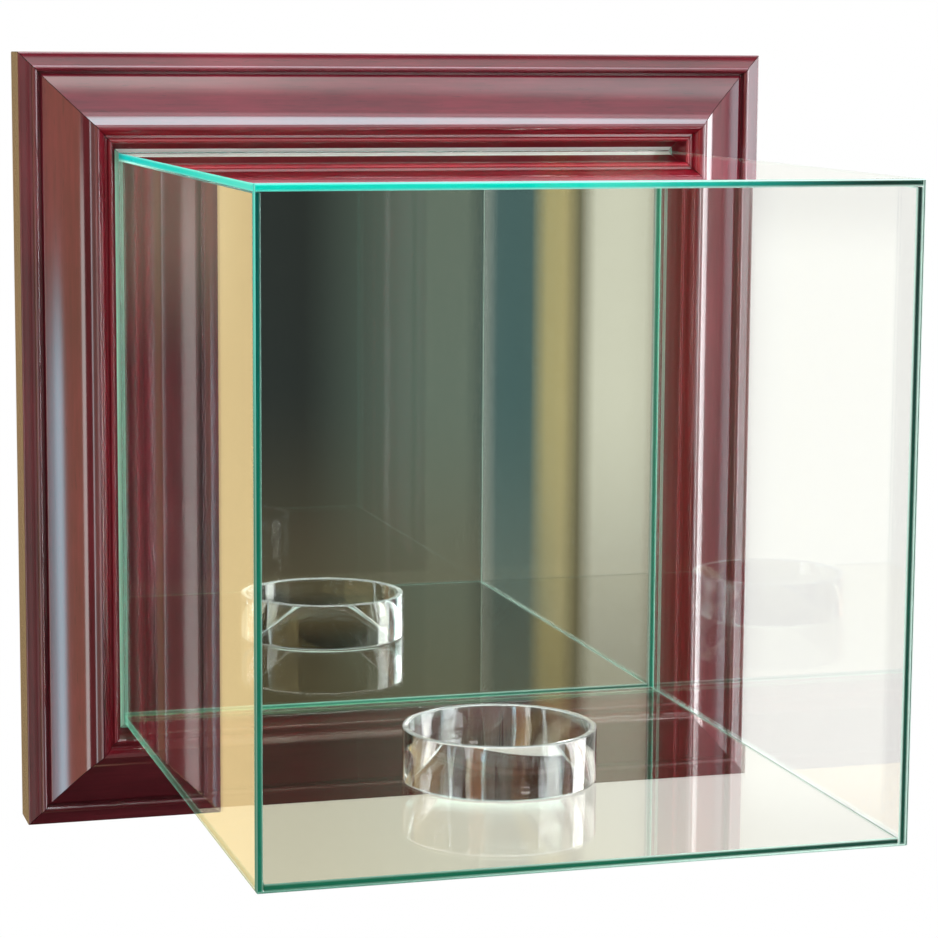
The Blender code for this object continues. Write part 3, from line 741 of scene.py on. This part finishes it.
def ringTree():
    # a round path swept by a rounded rectangle
    tree = bpy.data.node_groups.new("ringSweep", "GeometryNodeTree")
    sweep = Maker(tree)
    for label, kind in (("Radius", "Float"), ("Wall", "Float"), ("Height", "Float"), ("Edge", "Float")):
        tree.interface.new_socket(label, in_out="INPUT", socket_type="NodeSocket" + kind)
    tree.interface.new_socket("Place", in_out="INPUT", socket_type="NodeSocketVector")
    tree.interface.new_socket("Material", in_out="INPUT", socket_type="NodeSocketMaterial")
    tree.interface.new_socket("Geometry", in_out="OUTPUT", socket_type="NodeSocketGeometry")
    given = tree.nodes.new("NodeGroupInput")
    radius, wall, height, edge, place, material = [Wire(sweep, socket) for socket in given.outputs[:6]]
    values = {"Resolution": ring["steps"], "Radius": radius}
    path = sweep.node("GeometryNodeCurvePrimitiveCircle", None, values)
    section = sweep.node("GeometryNodeCurvePrimitiveQuadrilateral", None, {"Width": wall, "Height": height})
    values = {"Curve": section, "Radius": edge, "Count": ring["edgeSteps"]}
    rounded = sweep.node("GeometryNodeFilletCurve", {"mode": "POLY"}, values)
    tube = sweep.node("GeometryNodeCurveToMesh", None, {"Curve": path, "Profile Curve": rounded})
    placed = sweep.node("GeometryNodeSetPosition", None, {"Geometry": tube, "Offset": place})
    smooth = sweep.node("GeometryNodeSetShadeSmooth", None, {"Geometry": placed})
    real = sweep.node("GeometryNodeRealizeInstances", None, {"Geometry": smooth})
    finished = sweep.node("GeometryNodeSetMaterial", None, {"Geometry": real, "Material": material})
    sweep.node("NodeGroupOutput", None, {"Geometry": finished})
    return tree


def grown(name, tree, inputs, start=None):
    # runs a geometry tree on a new object and gives back the plain mesh
    seed = bpy.data.objects.new(name + "_seed", start or bpy.data.meshes.new(name))
    bpy.context.scene.collection.objects.link(seed)
    modifier = seed.modifiers.new("grow", "NODES")
    modifier.node_group = tree
    for item in tree.interface.items_tree:
        if item.in_out == "INPUT" and item.name in inputs:
            modifier[item.identifier] = inputs[item.name]
    bpy.context.view_layer.update()
    mesh = bpy.data.meshes.new_from_object(seed.evaluated_get(bpy.context.evaluated_depsgraph_get()))
    seed.modifiers.remove(modifier)
    bpy.data.objects.remove(seed)
    return mesh


def outward(mesh, smoothAngle):
    # points every face outwards, and shades the round ones smooth
    shape = bmesh.new()
    shape.from_mesh(mesh)
    bmesh.ops.remove_doubles(shape, verts=shape.verts, dist=joining["distance"])
    bmesh.ops.recalc_face_normals(shape, faces=shape.faces)
    shape.to_mesh(mesh)
    shape.free()
    mesh.shade_smooth()
    mesh.set_sharp_from_angle(angle=math.radians(smoothAngle))
    return mesh


def acrylic():
    look = Finish("clearAcrylic")
    low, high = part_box("riser_ring")
    middle = (low.z + high.z) / 2
    reach = (high.z - low.z) / 2
    rim = abs(look.z - middle).eased(reach - ring["rimDepth"], reach - ring["rimDepth"] / 3)
    clear = look.principled(baseColor=ring["tint"], roughness=0.0, transmissionWeight=1.0, ior=ring["ior"])
    sawn = look.principled(baseColor=ring["rimColour"], roughness=ring["rimRoughness"])
    return look.finished(look.blended(rim * ring["rimShare"], look.clearToLight(clear, ring["tint"]), sawn))


def makeRing():
    low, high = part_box("riser_ring")
    inputs = {
        "Radius": (high.x - low.x) / 2 - ring["wall"] / 2,
        "Wall": ring["wall"],
        "Height": high.z - low.z,
        "Edge": ring["edgeRadius"],
        "Place": (low + high) / 2,
        "Material": acrylic(),
    }
    mesh = outward(grown("riser_ring_clear", ringTree(), inputs), ring["smoothAngle"])
    addPiece("riser_ring_clear", mesh, inputs["Material"], "riser_ring", ("riser_ring",))


makeRing()
print("riser ring turned")


# Back board: bare fibreboard

board = {
    "colour": screenColour(150, 118, 82),
    "dark": screenColour(112, 84, 56),
    "pale": screenColour(182, 152, 112),
    "fleckScale": 900.0,
    "fleckStretch": (1, 1, 0.35),
    "fleckShare": 0.55,
    "fleckDepth": 0.00006,
    "fleckStrength": 0.7,
    "cloudScale": 12.0,
    "roughness": 0.85,
}


def fibreboard():
    look = Finish("fibreboard")
    fleck = look.noise(board["fleckScale"], 3.0, 0.7, board["fleckStretch"])
    cloud = look.noise(board["cloudScale"], 3.0, 0.6)
    tone = fleck * board["fleckShare"] + cloud * (1 - board["fleckShare"])
    stops = ((0.34, board["dark"]), (0.50, board["colour"]), (0.66, board["pale"]))
    colour = look.node("ShaderNodeValToRGB", {"stops": stops}, {0: tone})
    bump = look.bumped(fleck, board["fleckDepth"], board["fleckStrength"])
    return look.finished(look.principled(baseColor=colour, roughness=board["roughness"], normal=bump))


dress(["backing_board"], fibreboard())
print("back board fitted")


# Steel and brass fittings behind the frame

metal = {
    "zinc": screenColour(186, 188, 190),
    "zincBlue": screenColour(160, 168, 178),
    "spangleScale": 240.0,
    "spangleReach": (0.4, 0.65),
    "brass": screenColour(206, 178, 118),
    "brassDark": screenColour(148, 116, 66),
    "tarnishScale": 140.0,
    "tarnishReach": (0.45, 0.80, 0.0, 0.8),
    "brushScale": 260.0,
    "brushDepth": 0.00001,
    "brushStrength": 0.5,
    "smoothAngle": 34,
    "wireSmoothAngle": 60,
}


def plated(look, colour, roughness, brush):
    normal = look.bumped(brush, metal["brushDepth"], metal["brushStrength"])
    return look.finished(look.principled(baseColor=colour, metallic=1.0, roughness=roughness, normal=normal))


def zincSteel():
    look = Finish("zincSteel")
    spangle = look.noise(metal["spangleScale"], 2.0, 0.5)
    brush = look.noise(metal["brushScale"], 4.0, 0.7, (1, 1, 9))
    colour = look.mixed(spangle.eased(*metal["spangleReach"]), metal["zinc"], metal["zincBlue"])
    return plated(look, colour, 0.22 + brush * 0.22, brush)


def brassPlate():
    look = Finish("brassPlate")
    tarnish = look.noise(metal["tarnishScale"], 4.0, 0.65)
    brush = look.noise(metal["brushScale"], 4.0, 0.7, (1, 1, 6))
    colour = look.mixed(tarnish.eased(*metal["tarnishReach"]), metal["brass"], metal["brassDark"])
    return plated(look, colour, 0.18 + tarnish * 0.20, brush)


zinc = zincSteel()
brass = brassPlate()
buttonLabels = ("top_left", "top_right", "bottom_left", "bottom_right", "left", "right")
for label in buttonLabels:
    name = "turn_button_" + label
    addPiece(name + "_plated", smoothCopy(name, metal["smoothAngle"]), brass, name, (name,))
for side in ("left", "right"):
    name = "hanger_ring_" + side
    addPiece(name + "_plated", smoothCopy(name, metal["wireSmoothAngle"]), zinc, name, (name,))
    name = "hanger_strap_" + side
    addPiece(name + "_plated", smoothCopy(name, metal["smoothAngle"]), zinc, "case", (name,))
dress([name for name in nodes if name.startswith("v_nail_")], zinc)
print("turn buttons, hangers and nails plated")


# Screws: one pan-head screw with a cross recess, set on every screw's place

screw = {
    "headRadius": 0.0036,
    "headHeight": 0.0022,
    "rimShare": 0.35,
    "tipShare": 0.20,
    "domeSteps": 8,
    "steps": 40,
    "slotWidth": 0.0009,
    "slotLength": 0.0040,
    "slotDepth": 0.0013,
    "slotTaperShare": 0.35,
    "cutterRise": 1.2,
    "cutterDepth": 1.4,
    "smoothAngle": 30,
    "turnSeed": 7,
    "groups": {
        "button_screws": {"shankRadius": 0.0017, "length": 0.0125},
        "hanger_screws": {"shankRadius": 0.0019, "length": 0.0160},
    },
}


def turned(profile, steps):
    # turns (radius, height) points about Y, with poles where the radius is zero
    shape = bmesh.new()
    rings = []
    for radius, height in profile:
        count = 1 if radius == 0 else steps
        around = [math.tau * step / steps for step in range(count)]
        rings.append([shape.verts.new((radius * math.cos(a), height, radius * math.sin(a))) for a in around])
    for upper, lower in zip(rings, rings[1:]):
        for step in range(steps):
            following = (step + 1) % steps
            corners = []
            for corner in (upper[step % len(upper)], upper[following % len(upper)],
                           lower[following % len(lower)], lower[step % len(lower)]):
                if corner not in corners:
                    corners.append(corner)
            shape.faces.new(corners)
    bmesh.ops.recalc_face_normals(shape, faces=shape.faces)
    mesh = bpy.data.meshes.new("turned")
    shape.to_mesh(mesh)
    shape.free()
    return mesh


def crossCutter():
    # two tapering bars across each other, as a screwdriver's tip
    shape = bmesh.new()
    top = screw["headHeight"] * screw["cutterRise"]
    depth = screw["slotDepth"] * screw["cutterDepth"]
    long, narrow = screw["slotLength"], screw["slotWidth"]
    for length, width in ((long, narrow), (narrow, long)):
        made = bmesh.ops.create_cube(shape, size=1)["verts"]
        for vertex in made:
            low = vertex.co.y < 0
            taper = screw["slotTaperShare"] if low else 1.0
            vertex.co.x *= length * (taper if length > width else 1.0)
            vertex.co.z *= width * (taper if width > length else 1.0)
            vertex.co.y = top - depth if low else top
    mesh = bpy.data.meshes.new("cross")
    shape.to_mesh(mesh)
    shape.free()
    return mesh


def screwShape(sizes):
    rim = screw["headHeight"] * screw["rimShare"]
    dome = screw["headHeight"] - rim
    profile = []
    for step in range(screw["domeSteps"] + 1):
        angle = math.pi / 2 * step / screw["domeSteps"]
        radius = screw["headRadius"] * math.sin(angle) if step else 0
        profile.append((radius, rim + dome * math.cos(angle)))
    tip = sizes["length"] * screw["tipShare"]
    profile += [(screw["headRadius"], 0), (sizes["shankRadius"], 0)]
    profile += [(sizes["shankRadius"], tip - sizes["length"]), (0, -sizes["length"])]
    blank = bpy.data.objects.new("screw_blank", turned(profile, screw["steps"]))
    cross = bpy.data.objects.new("screw_cross", crossCutter())
    for item in (blank, cross):
        bpy.context.scene.collection.objects.link(item)
    cut = blank.modifiers.new("cross", "BOOLEAN")
    cut.object = cross
    cut.use_self = True
    bpy.context.view_layer.update()
    mesh = bpy.data.meshes.new_from_object(blank.evaluated_get(bpy.context.evaluated_depsgraph_get()))
    for item in (blank, cross):
        bpy.data.objects.remove(item)
    return outward(mesh, screw["smoothAngle"])


def scatterTree():
    # sets one object on every point, each turned about Y by its own amount
    tree = bpy.data.node_groups.new("scatter", "GeometryNodeTree")
    scatter = Maker(tree)
    tree.interface.new_socket("Geometry", in_out="INPUT", socket_type="NodeSocketGeometry")
    tree.interface.new_socket("Item", in_out="INPUT", socket_type="NodeSocketObject")
    tree.interface.new_socket("Seed", in_out="INPUT", socket_type="NodeSocketInt")
    tree.interface.new_socket("Material", in_out="INPUT", socket_type="NodeSocketMaterial")
    tree.interface.new_socket("Geometry", in_out="OUTPUT", socket_type="NodeSocketGeometry")
    given = tree.nodes.new("NodeGroupInput")
    points, item, seed, material = [Wire(scatter, socket) for socket in given.outputs[:4]]
    shape = scatter.node("GeometryNodeObjectInfo", None, {"Object": item}, 4)
    values = {2: 0.0, 3: math.pi, 8: seed}
    turn = scatter.node("FunctionNodeRandomValue", {"data_type": "FLOAT"}, values, 1)
    twist = scatter.node("ShaderNodeCombineXYZ", None, {1: turn})
    values = {"Points": points, "Instance": shape, "Rotation": twist}
    copies = scatter.node("GeometryNodeInstanceOnPoints", None, values)
    real = scatter.node("GeometryNodeRealizeInstances", None, {"Geometry": copies})
    finished = scatter.node("GeometryNodeSetMaterial", None, {"Geometry": real, "Material": material})
    scatter.node("NodeGroupOutput", None, {"Geometry": finished})
    return tree


def makeScrews():
    tree = scatterTree()
    for group, sizes in screw["groups"].items():
        names = sorted(name for name in nodes if name.startswith(group[:-1] + "_"))
        points = bpy.data.meshes.new(group + "_points")
        places = []
        for name in names:
            low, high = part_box(name)
            places.append(((low.x + high.x) / 2, high.y - screw["headHeight"], (low.z + high.z) / 2))
        points.from_pydata(places, [], [])
        item = bpy.data.objects.new(group + "_item", screwShape(sizes))
        bpy.context.scene.collection.objects.link(item)
        inputs = {"Item": item, "Seed": screw["turnSeed"], "Material": zinc}
        mesh = grown(group, tree, inputs, points)
        bpy.data.objects.remove(item)
        addPiece(group, outward(mesh, screw["smoothAngle"]), zinc, "case", names)


makeScrews()
print("screws driven")


# Bumpers: soft black rubber

bumper = {
    "black": screenColour(26, 26, 27),
    "dusty": screenColour(58, 57, 55),
    "dustScale": 300.0,
    "dustReach": (0.5, 0.8),
    "skinDepth": 0.00002,
    "smoothAngle": 50,
}


def blackRubber():
    look = Finish("blackRubber")
    dust = look.noise(bumper["dustScale"], 3.0, 0.6)
    colour = look.mixed(dust.eased(*bumper["dustReach"]), bumper["black"], bumper["dusty"])
    normal = look.bumped(dust, bumper["skinDepth"], 0.5)
    return look.finished(look.principled(baseColor=colour, roughness=0.55 + dust * 0.2, normal=normal))


rubber = blackRubber()
for side in ("left", "right"):
    name = "bumper_" + side
    addPiece(name + "_moulded", smoothCopy(name, bumper["smoothAngle"]), rubber, "case", (name,))
print("bumpers stuck on")
